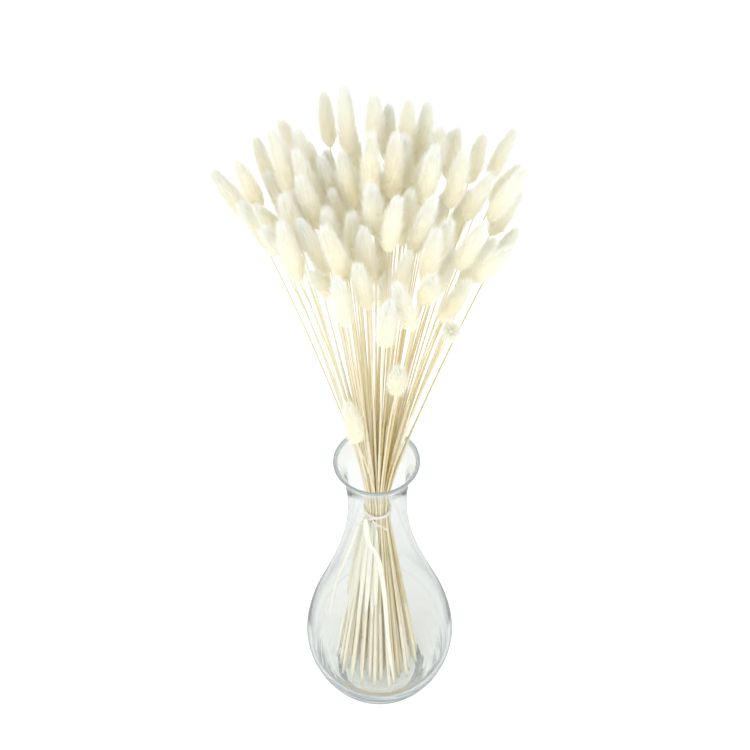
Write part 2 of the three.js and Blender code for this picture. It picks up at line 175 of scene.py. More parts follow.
# Light bounces, enough for paths through the vase
BOUNCES = {"max_bounces": 32, "glossy_bounces": 16, "transmission_bounces": 24, "diffuse_bounces": 20}

# Camera: places and distances in metres, angles in degrees, lens and sensor in millimetres
CAMERA_PLACE = (0, -0.606, 1.035)
CAMERA_DOWN = 47.78
CAMERA_ROLL = 1.04
CAMERA_LENS = 67.2
CAMERA_SENSOR = 36
CAMERA_NEAREST = 0.05

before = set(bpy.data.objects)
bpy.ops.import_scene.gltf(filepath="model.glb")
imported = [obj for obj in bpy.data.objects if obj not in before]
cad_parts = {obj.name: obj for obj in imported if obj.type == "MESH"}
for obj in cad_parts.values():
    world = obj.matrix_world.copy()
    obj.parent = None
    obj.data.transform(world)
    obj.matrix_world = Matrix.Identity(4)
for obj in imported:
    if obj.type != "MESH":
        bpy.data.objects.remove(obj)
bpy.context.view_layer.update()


# Camera

def add_to_scene(item):
    bpy.context.scene.collection.objects.link(item)


def make_camera():
    data = bpy.data.cameras.new("camera")
    data.lens = CAMERA_LENS
    data.sensor_width = CAMERA_SENSOR
    data.clip_start = CAMERA_NEAREST
    camera = bpy.data.objects.new("camera", data)
    add_to_scene(camera)
    tilt = Matrix.Rotation(math.radians(90 - CAMERA_DOWN), 4, "X")
    roll = Matrix.Rotation(math.radians(-CAMERA_ROLL), 4, "Z")
    camera.matrix_world = Matrix.Translation(Vector(CAMERA_PLACE)) @ tilt @ roll
    bpy.context.scene.camera = camera


# Placing rule

def seeded_draw(seed):
    """The draw that the source uses, so that both place the tails alike."""
    factor = 48271
    modulus = 2147483647
    state = seed

    def draw(low, high):
        nonlocal state
        state = (state * factor) % modulus
        return low + (high - low) * state / modulus

    return draw


def spline_point(points, share):
    """Point at a share of the way along a smooth curve through the points."""
    last = len(points) - 1
    along = last * share
    step = int(along)
    t = along - step
    around = [points[min(max(step + i, 0), last)] for i in (-1, 0, 1, 2)]
    p0, p1, p2, p3 = (np.array(p, float) for p in around)
    leave = (p2 - p0) / 2
    arrive = (p3 - p1) / 2
    cubic = (2 * p1 - 2 * p2 + leave + arrive) * t ** 3
    return cubic + (-3 * p1 + 3 * p2 - 2 * leave - arrive) * t ** 2 + leave * t + p1


def site(index):
    """Place of a tail among the others, in a circle of radius 1."""
    spread = math.sqrt((index + 0.5) / TAIL_COUNT)
    angle = math.radians(GOLDEN_ANGLE * index)
    return np.array([spread * math.cos(angle), spread * math.sin(angle)])


def fan_slope(place):
    """How far a stem leans out as it rises. The fan is narrower at the left in front."""
    narrower = 0.42
    narrow_bearing = -152
    narrow_width = 38
    bearing = math.degrees(math.atan2(place[1], place[0]))
    kept = 1 - narrower * math.exp(-(((bearing - narrow_bearing) / narrow_width) ** 2))
    return np.array([
        place[0] * FAN_TO_SIDES * kept,
        place[1] * FAN_IN_DEPTH * kept + FAN_TO_FRONT,
    ])


def leaning(lean, bearing):
    """Direction that leans from upright towards a bearing."""
    across = math.sin(math.radians(lean))
    way = math.radians(bearing)
    return np.array([across * math.cos(way), across * math.sin(way), math.cos(math.radians(lean))])


def waist(distance):
    """How far stems have spread at a distance from the tie: little near it, evenly further out."""
    return np.sqrt(1 + (WAIST * distance) ** 2) - 1


def unit(vector):
    return vector / np.linalg.norm(vector, axis=-1, keepdims=True)


def point_above(tie, base, bend, z):
    """Points of the stems at the heights z above the tie. The arrays share their leading shape."""
    rise = base[..., 2] - TIE_HEIGHT
    share = (z - TIE_HEIGHT) / rise
    out = (1 - bend) * waist(z - TIE_HEIGHT) / waist(rise) + bend * share ** 3
    flat = tie[..., :2] + (base[..., :2] - tie[..., :2]) * out[..., None]
    return np.concatenate([flat, np.broadcast_to(z, out.shape)[..., None]], -1)


class Tails:
    """Where every tail stands: one row of each array for a tail."""

    def __init__(self):
        self.index = []
        self.place = []
        self.tie = []
        self.base = []
        self.bend = []
        self.axis = []
        self.length = []
        self.ease = []

    def add(self, index, base, bend, axis, length, ease):
        place = site(index)
        self.index.append(index)
        self.place.append(place)
        self.tie.append([place[0] * TIE_RADIUS, place[1] * TIE_RADIUS, TIE_HEIGHT])
        self.base.append(base)
        self.bend.append(bend)
        self.axis.append(axis)
        self.length.append(length)
        self.ease.append(ease)

    def sort(self):
        order = np.argsort(self.index)
        for name, values in vars(self).items():
            setattr(self, name, np.array(values)[order])


def outline_tail(tails, index, head):
    bend = 0.14
    bearing, lean, reach, head_lean, turn, head_length = head
    base = leaning(lean, bearing) * reach + np.array([0, 0, TIE_HEIGHT])
    tails.add(index, base, bend, leaning(head_lean, bearing + turn), head_length, EASE_OF_OUTLINE)


def drawn_tail(tails, index, draw):
    """A tail that fills the bunch. It is shorter by chance, most so in the middle, and in front."""
    jitter = 0.022
    lean_back = 0.1
    shorter_in_middle = 84
    less_at_edge = 52
    lower_edge = 6
    lower_front = 14
    place = site(index)
    spread = math.hypot(*place)
    slope = fan_slope(place)
    slope[0] += draw(-jitter, jitter)
    slope[1] += draw(-jitter, jitter)
    shorter = (shorter_in_middle - less_at_edge * spread ** 2) * draw(0, 1) ** 1.4
    reach = REACH - shorter - lower_edge * spread ** 2 - lower_front * max(0, -place[1])
    rise = unit(np.array([*slope, 1]))
    base = rise * reach + np.array([0, 0, TIE_HEIGHT])
    bend = draw(0.04, 0.24)
    tie = np.array([*(place * TIE_RADIUS), TIE_HEIGHT])
    end = unit(base - point_above(tie, base, bend, base[2] - 4))
    nod = draw(0, 0.16) + 0.1 * spread
    outward = math.hypot(rise[0], rise[1])
    axis = unit(np.array([
        end[0] + nod * rise[0] / outward + draw(-0.09, 0.09),
        0.7 * end[1] + 0.3 * nod * rise[1] / outward + lean_back + draw(-0.08, 0.08),
        end[2],
    ]))
    tails.add(index, base, bend, axis, draw(40, 52), EASE_OF_OTHERS)


def place_outline(tails, free):
    """Each head of the outline, the outermost first, takes the free site that leans most like it."""
    found = {}
    for head in sorted(OUTLINE_HEADS, key=lambda row: -row[1]):
        way = leaning(head[1], head[0])
        slope = way[:2] / way[2]
        index = min(free, key=lambda i: float(np.sum((fan_slope(site(i)) - slope) ** 2)))
        free.remove(index)
        found[index] = head
    for index in sorted(found):
        outline_tail(tails, index, found[index])


def closest_gap(a, b, c, d):
    """From the lines c-d to the lines a-b, where they come closest."""
    first = b - a
    second = d - c
    between = a - c
    aa = np.sum(first * first, -1)
    bb = np.sum(second * second, -1)
    ab = np.sum(first * second, -1)
    af = np.sum(first * between, -1)
    bf = np.sum(second * between, -1)
    cross = aa * bb - ab * ab
    slanted = cross > 1e-9
    on_first = np.where(slanted, np.clip((ab * bf - af * bb) / np.where(slanted, cross, 1), 0, 1), 0)
    on_second = (ab * on_first + bf) / bb
    before = on_second < 0
    after = on_second > 1
    on_first = np.where(before, np.clip(-af / aa, 0, 1), on_first)
    on_first = np.where(after, np.clip((ab - af) / aa, 0, 1), on_first)
    on_second = np.clip(on_second, 0, 1)
    return between + first * on_first[..., None] - second * on_second[..., None]


def push(move, ease, one, two, gap, wanted, asked):
    """Adds to move what sets the tails one and two apart, where asked."""
    across = np.hypot(gap[:, 0], gap[:, 1])
    lack = wanted - np.linalg.norm(gap, axis=-1)
    use = asked & (lack > 0) & (across >= 1e-6)
    aside = gap[use, :2] * (lack[use] / across[use])[:, None]
    share = (ease[one] / (ease[one] + ease[two]))[use, None]
    np.add.at(move, one[use], aside * share)
    np.add.at(move, two[use], aside * (share - 1))


def rising_levels(base):
    """Heights along the stems, from the tie to the heads."""
    near = TIE_HEIGHT + np.array([0, *RISES_NEAR_TIE], float)
    rest = base[:, 2:3] - near[-1]
    return np.concatenate([np.tile(near, (len(base), 1)), near[-1] + rest * [0.4, 0.75, 1]], 1)


def settle_round(tails, one, two):
    """One round: the sideways move that each tail is asked to make."""
    base = tails.base
    tip = base + tails.axis * tails.length[:, None]
    levels = rising_levels(base)
    rising = point_above(tails.tie[:, None], base[:, None], tails.bend[:, None], levels)
    move = np.zeros((len(base), 2))
    near = np.hypot(*(base[one] - base[two])[:, :2].T) <= FAR_APART
    heads = closest_gap(base[one], tip[one], base[two], tip[two])
    push(move, tails.ease, one, two, heads, HEAD_TO_HEAD, near)
    for headed, stemmed in ((one, two), (two, one)):
        for i in range(1, levels.shape[1]):
            start, end = rising[stemmed, i - 1], rising[stemmed, i]
            below = start[:, 2] <= tip[headed, 2] + BESIDE_HEAD
            beside = (end[:, 2] >= base[headed, 2] - BESIDE_HEAD) & below
            gap = closest_gap(base[headed], tip[headed], start, end)
            push(move, tails.ease, headed, stemmed, gap, HEAD_TO_STEM, near & beside)
    top = np.minimum(base[one, 2], base[two, 2])
    for rise in (*RISES_NEAR_TIE, *RISES_HIGH):
        points = point_above(tails.tie, base, tails.bend, np.float64(TIE_HEIGHT + rise))
        wanted = STEM_TO_STEM if rise in RISES_NEAR_TIE else STEM_TO_STEM_HIGH
        gap = points[one] - points[two]
        push(move, tails.ease, one, two, gap, wanted, near & (TIE_HEIGHT + rise <= top))
    return move


def spread_seen(tails, one, two):
    """The move of the heads that are in line with another one as seen from the front and above."""
    part = 0.3
    outward_held = 0.5
    middle = tails.base + tails.axis * tails.length[:, None] / 2
    apart = middle[one] - middle[two]
    down = math.sin(math.radians(SEEN_ABOVE))
    upward = (apart[:, 1] * down + apart[:, 2] * math.cos(math.radians(SEEN_ABOVE))) / SEEN_TALLNESS
    distance = np.hypot(apart[:, 0], upward) + 1e-6
    lack = np.maximum(0, SEEN_APART - distance) * part / distance
    aside = np.column_stack([apart[:, 0] * lack, upward / down * lack])
    free = (tails.ease == EASE_OF_OTHERS).astype(float)
    aside /= np.maximum(1, free[one] + free[two])[:, None]
    move = np.zeros((len(tails.base), 2))
    for who, step in ((one, aside), (two, -aside)):
        step = step * free[who, None]
        outward = unit(tails.base[who, :2])
        held = outward_held * np.maximum(0, np.sum(step * outward, 1))
        np.add.at(move, who, step - outward * held[:, None])
    return move


def settle(tails):
    """Moves the heads a little sideways in each round, so that they and the stems keep apart."""
    rounds = 80
    spread_rounds = 60
    longest_move = 2
    part = 0.6
    one, two = np.tril_indices(TAIL_COUNT, -1)
    for done in range(rounds):
        move = settle_round(tails, one, two)
        if done < spread_rounds:
            move += spread_seen(tails, one, two)
        length = np.linalg.norm(move, axis=1, keepdims=True)
        move *= np.minimum(1, longest_move / np.maximum(length, 1e-12))
        tails.base[:, :2] += part * move


def floor_height(radius):
    """Height of the inside of the vase at this radius, below the belly."""
    if radius < FLOOR_FLAT_RADIUS:
        return FLOOR_THICKNESS
    steps = 60
    lower_part = 0.4
    for i in range(1, steps + 1):
        x, z = spline_point(VASE_HOLLOW, i / steps * lower_part)
        if x > radius:
            return z
    return FLOOR_THICKNESS


def place_feet(tails, draw):
    tails.foot = np.zeros((TAIL_COUNT, 3))
    for i, place in enumerate(tails.place):
        x = place[0] * FEET_TO_SIDES + FEET_MIDDLE[0] + draw(-FEET_JITTER, FEET_JITTER)
        y = place[1] * FEET_IN_DEPTH + FEET_MIDDLE[1] + draw(-FEET_JITTER, FEET_JITTER)
        lift = floor_height(math.hypot(x, y) + STEM_RADIUS) + FOOT_CLEARANCE
        tails.foot[i] = x, y, lift + FEET_LIFT * draw(0, 1) ** 2


def press_pairs(tails):
    """Pairs of neighbours share a node of the frame and are pressed together at the tie."""
    pressed_gap = 0.5
    options = [(b, a) for a in range(PAIR_SITES) for b in range(a)]
    options.sort(key=lambda pair: math.dist(tails.tie[pair[0]], tails.tie[pair[1]]))
    tails.press = np.zeros((TAIL_COUNT, 3))
    pairs = []
    for b, a in options:
        if len(pairs) < PAIR_COUNT and not any(b in pair or a in pair for pair in pairs):
            pairs.append((b, a))
            apart = tails.tie[a] - tails.tie[b]
            shift = unit(apart) * (np.linalg.norm(apart) - pressed_gap) / 2
            tails.press[b] = shift
            tails.press[a] = -shift
    return pairs


def place_tails():
    """All tails, placed as in the source, where the first draws are left out too."""
    unused_draws = 5
    draw = seeded_draw(SEED)
    for _ in range(unused_draws):
        draw(0, 1)
    free = list(range(TAIL_COUNT))
    tails = Tails()
    place_outline(tails, free)
    for index in free:
        drawn_tail(tails, index, draw)
    tails.sort()
    settle(tails)
    place_feet(tails, draw)
    return tails


# Meshes

class Shell:
    """Points, triangles and values of one piece while it is put together."""

    def __init__(self):
        self.points = []
        self.faces = []
        self.slots = []
        self.smooth = []
        self.pale = []
        self.tone = []
        self.count = 0

    def add(self, points, faces, slot, pale, tone, smooth=True):
        self.points.append(points)
        self.faces.append(np.asarray(faces) + self.count)
        self.slots.append(np.full(len(faces), slot))
        self.smooth.append(np.full(len(faces), smooth))
        self.pale.append(np.broadcast_to(pale, len(points)))
        self.tone.append(np.broadcast_to(tone, len(points)))
        self.count += len(points)

    def build(self, name, materials):
        points = np.concatenate(self.points) * MM
        faces = np.concatenate(self.faces)
        mesh = bpy.data.meshes.new(name)
        mesh.vertices.add(len(points))
        mesh.vertices.foreach_set("co", points.astype(np.float32).ravel())
        mesh.loops.add(faces.size)
        mesh.loops.foreach_set("vertex_index", faces.astype(np.int32).ravel())
        mesh.polygons.add(len(faces))
        mesh.polygons.foreach_set("loop_start", np.arange(0, faces.size, 3, dtype=np.int32))
        mesh.polygons.foreach_set("material_index", np.concatenate(self.slots).astype(np.int32))
        mesh.polygons.foreach_set("use_smooth", np.concatenate(self.smooth))
        for title, values in (("pale", self.pale), ("tone", self.tone)):
            attribute = mesh.attributes.new(title, "FLOAT", "POINT")
            attribute.data.foreach_set("value", np.concatenate(values).astype(np.float32))
        mesh.update()
        mesh.validate()
        for material in materials:
            mesh.materials.append(material)
        piece = bpy.data.objects.new(name, mesh)
        add_to_scene(piece)
        return piece


def side_frames(points):
    """Two directions across the path at each of its points, turning as little as possible."""
    ways = unit(np.gradient(points, axis=0))
    side = np.cross(ways[0], [0, 1, 0.3])
    sides = []
    for way in ways:
        side = unit(side - way * np.dot(side, way))
        sides.append(side)
    sides = np.array(sides)
    return sides, np.cross(ways, sides)


def tube(points, radii, sides, flat=1.0, turn=0.0):
    """Closed tube along points. flat is its thickness over its width."""
    across, up = side_frames(points)
    angles = np.arange(sides) * 2 * math.pi / sides
    turned = turn + np.zeros(len(points))
    rings = []
    for i in range(len(points)):
        cos, sin = math.cos(turned[i]), math.sin(turned[i])
        wide = across[i] * cos + up[i] * sin
        thin = up[i] * cos - across[i] * sin
        ring = np.outer(np.cos(angles), wide) + np.outer(np.sin(angles) * flat, thin)
        rings.append(points[i] + ring * radii[i])
    vertices = np.concatenate([*rings, points[:1], points[-1:]])
    return vertices, tube_faces(len(points), sides)


def tube_faces(steps, sides):
    start, end = steps * sides, steps * sides + 1
    faces = []
    for side in range(sides):
        after = (side + 1) % sides
        faces.append((start, after, side))
        top = (steps - 1) * sides
        faces.append((end, top + side, top + after))
        for step in range(steps - 1):
            low, high = step * sides, (step + 1) * sides
            faces.append((low + side, low + after, high + after))
            faces.append((low + side, high + after, high + side))
    return np.array(faces)


# Materials

def new_material(name):
    material = bpy.data.materials.new(name)
    material.use_nodes = True
    material.node_tree.nodes.clear()
    return material, material.node_tree


def add_node(tree, kind, values=None, **settings):
    node = tree.nodes.new(kind)
    for key, value in settings.items():
        setattr(node, key, value)
    for key, value in (values or {}).items():
        node.inputs[key].default_value = value
    return node


def colour_ramp(tree, stops, share):
    ramp = add_node(tree, "ShaderNodeValToRGB")
    elements = ramp.color_ramp.elements
    while len(elements) < len(stops):
        elements.new(0.5)
    for element, (position, colour) in zip(elements, stops):
        element.position = position
        element.color = (*colour, 1)
    tree.links.new(share, ramp.inputs["Fac"])
    return ramp.outputs["Color"]


def calculate(tree, operation, first, second):
    node = add_node(tree, "ShaderNodeMath", operation=operation)
    for socket, value in zip(node.inputs, (first, second)):
        if isinstance(value, (int, float)):
            socket.default_value = value
        else:
            tree.links.new(value, socket)
    return node.outputs["Value"]


def product(tree, first, *others):
    for other in others:
        first = calculate(tree, "MULTIPLY", first, other)
    return first


def swing(tree, value, width):
    """A value from 0 to 1, moved to vary about zero over this width."""
    return product(tree, calculate(tree, "SUBTRACT", value, 0.5), width)


def fade(tree, value, start, end, low=0.0, high=1.0):
    """low where value is at start or before, high at end or after."""
    node = add_node(tree, "ShaderNodeMapRange", {
        "From Min": start, "From Max": end, "To Min": low, "To Max": high,
    })
    tree.links.new(value, node.inputs["Value"])
    return node.outputs["Result"]


def attribute(tree, name):
    return add_node(tree, "ShaderNodeAttribute", attribute_name=name).outputs["Fac"]


def stretched_noise(tree, across, along, detail=3.0):
    """Noise in the object's own coordinates, drawn out along the height."""
    place = add_node(tree, "ShaderNodeTexCoord")
    mapping = add_node(tree, "ShaderNodeMapping", {"Scale": (across, across, along)})
    noise = add_node(tree, "ShaderNodeTexNoise", {"Scale": 1.0, "Detail": detail})
    tree.links.new(place.outputs["Object"], mapping.inputs["Vector"])
    tree.links.new(mapping.outputs["Vector"], noise.inputs["Vector"])
    return noise.outputs["Fac"]


def dry_shader(tree, colour, through, share, values, bump=None):
    """A dull surface that lets a share of the light through."""
    surface = add_node(tree, "ShaderNodeBsdfPrincipled", values)
    glow = add_node(tree, "ShaderNodeBsdfTranslucent")
    mix = add_node(tree, "ShaderNodeMixShader", {"Fac": share})
    output = add_node(tree, "ShaderNodeOutputMaterial")
    tree.links.new(colour, surface.inputs["Base Color"])
    tree.links.new(through, glow.inputs["Color"])
    if bump is not None:
        tree.links.new(bump, surface.inputs["Normal"])
    tree.links.new(surface.outputs["BSDF"], mix.inputs[1])
    tree.links.new(glow.outputs["BSDF"], mix.inputs[2])
    tree.links.new(mix.outputs["Shader"], output.inputs["Surface"])


def fluff_material():
    """Hairs, golden at the root and white at the tip. The golden roots are painted warm shade, deep in the
    fluff.
    """
    material, tree = new_material("fluff")
    pale = product(tree, attribute(tree, "pale"), 0.8)
    tone = product(tree, attribute(tree, "tone"), 0.25)
    colour = colour_ramp(tree, [
        (0.0, (0.962, 0.893, 0.7)),
        (0.35, (0.962, 0.941, 0.85)),
        (0.7, (0.955, 0.963, 0.945)),
        (1.0, (0.95, 0.97, 0.982)),
    ], calculate(tree, "ADD", pale, tone))
    surface = add_node(tree, "ShaderNodeBsdfPrincipled", {"Roughness": 0.85, "Specular IOR Level": 0.2})
    output = add_node(tree, "ShaderNodeOutputMaterial")
    tree.links.new(colour, surface.inputs["Base Color"])
    tree.links.new(surface.outputs["BSDF"], output.inputs["Surface"])
    return material


def straw_material():
    """Stems, sheaths and leaves, with streaks of colour and fine grooves along them."""
    material, tree = new_material("straw")
    streaks = stretched_noise(tree, 900, 22)
    lines = stretched_noise(tree, 5200, 60, 2.0)
    mottle = swing(tree, streaks, 0.55)
    tone = swing(tree, attribute(tree, "tone"), 0.3)
    # pale carries light and shade painted on the stems: paler at the lit left, more golden at the shaded
    # right.
    share = calculate(tree, "ADD", attribute(tree, "pale"), calculate(tree, "ADD", mottle, tone))
    colour = colour_ramp(tree, [
        (0.0, (0.71, 0.61, 0.28)),
        (0.3, (0.89, 0.825, 0.54)),
        (0.65, (0.94, 0.91, 0.72)),
        (1.0, (0.955, 0.958, 0.885)),
    ], share)
    through = colour_ramp(tree, [
        (0.0, (0.8, 0.55, 0.2)),
        (1.0, (0.97, 0.9, 0.7)),
    ], share)
    bump = add_node(tree, "ShaderNodeBump", {"Strength": 0.5, "Distance": 0.0002})
    tree.links.new(lines, bump.inputs["Height"])
    values = {"Roughness": 0.5, "Specular IOR Level": 0.35}
    dry_shader(tree, colour, through, 0.25, values, bump.outputs["Normal"])
    return material


def string_material():
    material, tree = new_material("string")
    fibres = stretched_noise(tree, 2400, 2400)
    colour = colour_ramp(tree, [
        (0.3, (0.86, 0.82, 0.72)),
        (0.7, (0.96, 0.95, 0.9)),
    ], fibres)
    bump = add_node(tree, "ShaderNodeBump", {"Strength": 0.6, "Distance": 0.0002})
    tree.links.new(fibres, bump.inputs["Height"])
    dry_shader(tree, colour, colour, 0.2, {"Roughness": 0.8}, bump.outputs["Normal"])
    return material


def depth_and_height(tree):
    """Where a point of the object is, from front to back and upwards, in metres."""
    place = add_node(tree, "ShaderNodeTexCoord")
    split = add_node(tree, "ShaderNodeSeparateXYZ")
    tree.links.new(place.outputs["Object"], split.inputs["Vector"])
    return split.outputs["Y"], split.outputs["Z"]


def glass_ripple(tree, z):
    """Soft waves of blown glass, in the thick base only."""
    near_base = fade(tree, z, 0.012, 0.042, 1.0, 0.0)
    waves = stretched_noise(tree, 70, 190, 1.0)
    bump = add_node(tree, "ShaderNodeBump", {"Strength": 1.0, "Distance": 0.0014})
    tree.links.new(product(tree, waves, near_base), bump.inputs["Height"])
    return bump.outputs["Normal"]


def glass_painted_reflections(tree, y, z, facing):
    """How dark the glass is painted: a line along the lower outline and streaks at both sides of the base,
    painted reflections of darker surroundings.
    """
    slanted = fade(tree, facing, 0.74, 0.95)
    below_belly = fade(tree, z, 0.06, 0.15, 1.0, 0.0)
    fainter_in_front = fade(tree, y, -0.04, -0.025, 0.35, 1.0)
    outline = product(tree, slanted, below_belly, fainter_in_front)
    patches = fade(tree, stretched_noise(tree, 45, 330, 2.0), 0.42, 0.52)
    at_base = fade(tree, z, 0.04, 0.07, 0.95, 0.0)
    at_sides = fade(tree, facing, 0.5, 0.74)
    not_behind = fade(tree, y, 0.0, 0.02, 1.0, 0.0)
    streaks = product(tree, patches, at_base, at_sides, not_behind)
    return calculate(tree, "MAXIMUM", outline, streaks)


def glass_painted_straw(tree, y, z, facing):
    """Painted reflection: bands where the front of the base shows the straw above it."""
    bands = fade(tree, stretched_noise(tree, 25, 420, 1.0), 0.44, 0.54, 0.2, 1.0)
    at_base = fade(tree, z, 0.03, 0.042, 1.0, 0.0)
    in_front = fade(tree, y, -0.03, -0.015, 1.0, 0.0)
    slanted = fade(tree, facing, 0.25, 0.5)
    return product(tree, at_base, in_front, slanted, bands)


def glass_tint(tree, z, dark, under):
    """Clear glass, painted grey-blue where dark reflections are painted and at the lip, and painted
    straw-coloured where the front of the base shows the straw.
    """
    # Painted grey at the lip, for the look of the rim through the glass edge.
    at_lip = fade(tree, z, *LIP_BAND, 0.0, 0.3)
    cool = colour_ramp(tree, [
        (0.0, (0.975, 0.983, 0.98)),
        (0.4, (0.38, 0.46, 0.51)),
        (1.0, (0.08, 0.14, 0.19)),
    ], calculate(tree, "MAXIMUM", dark, at_lip))
    # By number, because the colour sockets share their names with others
    mix = add_node(tree, "ShaderNodeMix", data_type="RGBA")
    colour_a, colour_b, colour_result = mix.inputs[6], mix.inputs[7], mix.outputs[2]
    # Straw colour, a painted reflection of the straw in the base.
    colour_b.default_value = (0.5, 0.38, 0.16, 1)
    tree.links.new(under, mix.inputs["Factor"])
    tree.links.new(cool, colour_a)
    return colour_result


def glass_surface(tree):
    """Less light passes where dark reflections and the straw's reflection are painted on the glass, in the
    flare and at the lip.
    """
    y, z = depth_and_height(tree)
    facing = add_node(tree, "ShaderNodeLayerWeight", {"Blend": 0.5}).outputs["Facing"]
    dark = glass_painted_reflections(tree, y, z, facing)
    under = glass_painted_straw(tree, y, z, facing)
    # Painted reflections let less light through, so that their painted colour shows.
    kept = calculate(tree, "ADD", product(tree, dark, 0.85), product(tree, under, 0.9))
    # Less light passes at the lip, so that its painted grey shows.
    past_lip = fade(tree, z, *LIP_BAND, 1.0, 0.6)
    past_flare = fade(tree, z, *FLARE_BAND, 1.0, 0.8)
    passing = product(tree, calculate(tree, "SUBTRACT", past_lip, kept), past_flare)
    roughness = fade(tree, stretched_noise(tree, 30, 30), 0, 1, 0.0, 0.02)
    glass = add_node(tree, "ShaderNodeBsdfPrincipled", {"IOR": 1.5})
    tree.links.new(glass_tint(tree, z, dark, under), glass.inputs["Base Color"])
    tree.links.new(roughness, glass.inputs["Roughness"])
    tree.links.new(passing, glass.inputs["Transmission Weight"])
    tree.links.new(glass_ripple(tree, z), glass.inputs["Normal"])
    return glass.outputs["BSDF"]


def glass_material():
    """Glass for all rays but those of shadows and diffuse light, which pass as through air."""
    material, tree = new_material("glass")
    clear = add_node(tree, "ShaderNodeBsdfTransparent", {"Color": (0.995, 0.995, 0.995, 1)})
    path = add_node(tree, "ShaderNodeLightPath")
    unseen = calculate(tree, "MAXIMUM", path.outputs["Is Shadow Ray"], path.outputs["Is Diffuse Ray"])
    mix = add_node(tree, "ShaderNodeMixShader")
    tree.links.new(unseen, mix.inputs["Fac"])
    tree.links.new(glass_surface(tree), mix.inputs[1])
    tree.links.new(clear.outputs["BSDF"], mix.inputs[2])
    absorbed = {"Color": (0.68, 0.76, 0.75, 1), "Density": 20.0}
    depth = add_node(tree, "ShaderNodeVolumeAbsorption", absorbed)
    output = add_node(tree, "ShaderNodeOutputMaterial")
    tree.links.new(mix.outputs["Shader"], output.inputs["Surface"])
    tree.links.new(depth.outputs["Volume"], output.inputs["Volume"])
    return material


# Vase

def lip_points():
    """The rounded edge between the outer and the inner wall."""
    centre = np.array([RIM_RADIUS - VASE_LIP, VASE_HEIGHT - VASE_LIP])
    angles = np.radians(np.linspace(0, 180, 13))
    return [centre + VASE_LIP * np.array([math.cos(a), math.sin(a)]) for a in angles]


def dipped_floor(radius):
    """Height of the inside of the floor, which dips a little to its middle."""
    return FLOOR_THICKNESS - FLOOR_DIP * (1 - radius / FLOOR_FLAT_RADIUS) ** 0.5


def vase_profile():
    """Points of radius and height from the underside, over the lip, to the floor inside."""
    shares = np.linspace(0, 1, VASE_STEPS + 1)
    outer = [spline_point(VASE_OUTLINE, t) for t in shares]
    inner = [spline_point(VASE_HOLLOW, t) for t in shares[::-1]]
    floor = [(r, dipped_floor(r)) for r in (18, 9)]
    return np.array([*VASE_FOOT, *outer[:-1], *lip_points(), *inner[1:], *floor])


def make_vase():
    profile = vase_profile()
    angles = np.arange(VASE_SIDES) * 2 * math.pi / VASE_SIDES
    around = np.stack([np.cos(angles), np.sin(angles)], -1)
    rings = [np.column_stack([around * r, np.full(VASE_SIDES, z)]) for r, z in profile]
    points = np.concatenate([*rings, [[0, 0, 0]], [[0, 0, dipped_floor(0)]]])
    shell = Shell()
    shell.add(points, tube_faces(len(profile), VASE_SIDES), 0, 1, 0.5)
    vase = shell.build("glass_vase", [glass_material()])
    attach(vase, "root")
    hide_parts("vase")


# Stems

def stem_path(tails, i):
    """Points of a stem, from its foot to inside its head."""
    pressed_reach = 16
    tie, base, foot = tails.tie[i], tails.base[i], tails.foot[i]
    drop = TIE_HEIGHT - foot[2]
    low = foot[2] + drop * np.linspace(0, 1, 15)[:-1]
    out = waist(STRAIGHTNESS * (TIE_HEIGHT - low)) / waist(STRAIGHTNESS * drop)
    below = np.column_stack([tie[:2] + (foot[:2] - tie[:2]) * out[:, None], low])
    high = TIE_HEIGHT + (base[2] - TIE_HEIGHT) * np.linspace(0, 1, 22)
    above = point_above(tie, base, tails.bend[i], high)
    inside = base + np.outer([2, 5], tails.axis[i])
    points = np.concatenate([below, above, inside])
    near_tie = np.clip(1 - np.abs(points[:, 2:3] - TIE_HEIGHT) / pressed_reach, 0, 1)
    return points + tails.press[i] * near_tie ** 2 * (3 - 2 * near_tie)


def stem_radius(z, thick):
    """Stems are thickest at the foot and thinnest under the head."""
    below = np.clip((TIE_HEIGHT - z) / TIE_HEIGHT, 0, 1)
    above = np.clip((z - TIE_HEIGHT) / REACH, 0, 1)
    return STEM_AT_TIE * thick + STEM_SWELL * below - STEM_TAPER * above


def add_stem(shell, tails, i, rng):
    """A stem and its sheaths. Stems are paler towards the heads. They are also paler at the left, most
    below the tie, and more golden at the right: painted light and shade, as the key lamp lights the bunch
    from the left.
    """
    sides = 7
    place = tails.place[i]
    points = stem_path(tails, i)
    z = points[:, 2]
    thick = rng.uniform(0.94, 1.05)
    radii = stem_radius(z, thick)
    # Painted light and shade: paler at the lit left of the bunch, more golden at the shaded right.
    pale = 0.45 - 0.3 * place[0] + rng.uniform(-0.2, 0.22)
    tone = rng.uniform(0, 1)
    # Painted light on the lit left, below the tie.
    painted_light_low_left = 0.7 * max(0, 0.1 - place[0]) * (z < TIE_HEIGHT)
    paler_high = 0.15 * np.clip((z - 330) / 150, 0, 1)
    vertices, faces = tube(points, radii, sides)
    shell.add(vertices, faces, STRAW, spread_over(pale + paler_high + painted_light_low_left, sides), tone)
    add_sheath(shell, points, radii, pale, rng)
    add_papery_sheath_as_painted_light(shell, points, place, rng)


def spread_over(values, sides):
    """One value for each point of a tube, from one for each ring."""
    return np.concatenate([np.repeat(values, sides), values[:1], values[-1:]])


